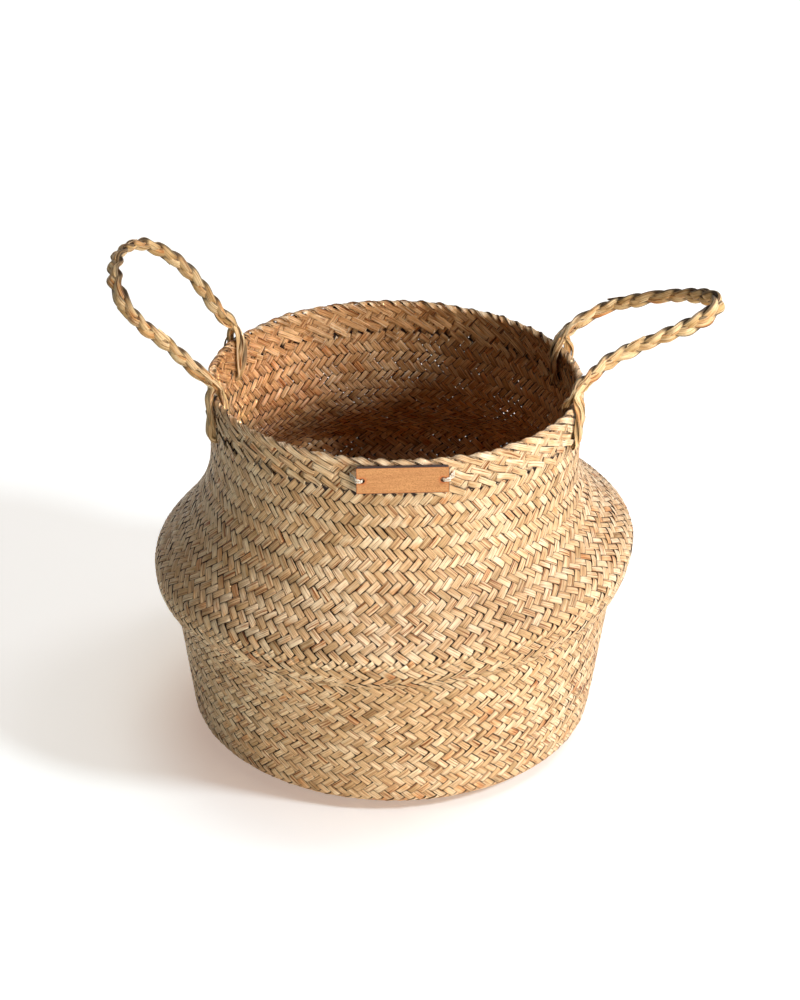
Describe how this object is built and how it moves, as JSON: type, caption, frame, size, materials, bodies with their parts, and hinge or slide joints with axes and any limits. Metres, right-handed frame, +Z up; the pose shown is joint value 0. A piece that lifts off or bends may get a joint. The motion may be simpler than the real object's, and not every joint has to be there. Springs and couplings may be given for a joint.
{
  "type": "belly basket",
  "caption": "Round woven seagrass basket with a flat base, a fold-down belly, a narrower open neck, two rope loop handles and a small plain wooden tag.",
  "frame": {"origin": "centre of the flat underside that the basket stands on", "axes": "+Z up, -Y out of the front where the tag is, +X towards the lower-lying right handle"},
  "size_m": [0.3885, 0.32, 0.3283],
  "materials": {
    "base_weave": "dry woven seagrass",
    "wall_weave": "dry woven seagrass with a faint gloss",
    "rim_weave": "folded seagrass strands",
    "rope": "plaited seagrass rope",
    "tag_wood": "bare laser-cut plywood",
    "tie_thread": "cotton thread"
  },
  "bodies": {
    "lower_basket": {"base_mat": "base_weave", "lower_wall": "wall_weave", "belly_wall": "wall_weave", "shoulder_wall": "wall_weave"},
    "neck": {"neck_wall": "wall_weave", "rim_border": "rim_weave", "handle_eye_left_front": "rope", "handle_eye_left_back": "rope", "handle_eye_right_front": "rope", "handle_eye_right_back": "rope", "tag_plate": "tag_wood", "tag_tie_left": "tie_thread", "tag_tie_right": "tie_thread"},
    "left_handle": {"handle_rope_left": "rope"},
    "right_handle": {"handle_rope_right": "rope"}
  },
  "joints": [
    {"name": "belly_fold", "type": "slide", "parent": "lower_basket", "child": "neck", "axis": [0, 0, 1], "range_m": [-0.094, 0.008], "deforming": ["shoulder_wall"]},
    {"name": "left_handle_hinge", "type": "hinge", "parent": "neck", "child": "left_handle", "pos_m": [-0.11001, 0.00673, 0.2576], "axis": [0.0611, 0.9981, 0], "range_deg": [-57, 105]},
    {"name": "right_handle_hinge", "type": "hinge", "parent": "neck", "child": "right_handle", "pos_m": [0.11039, 0.00241, 0.2576], "axis": [0.0218, -0.9998, 0], "range_deg": [-38, 124]}
  ]
}
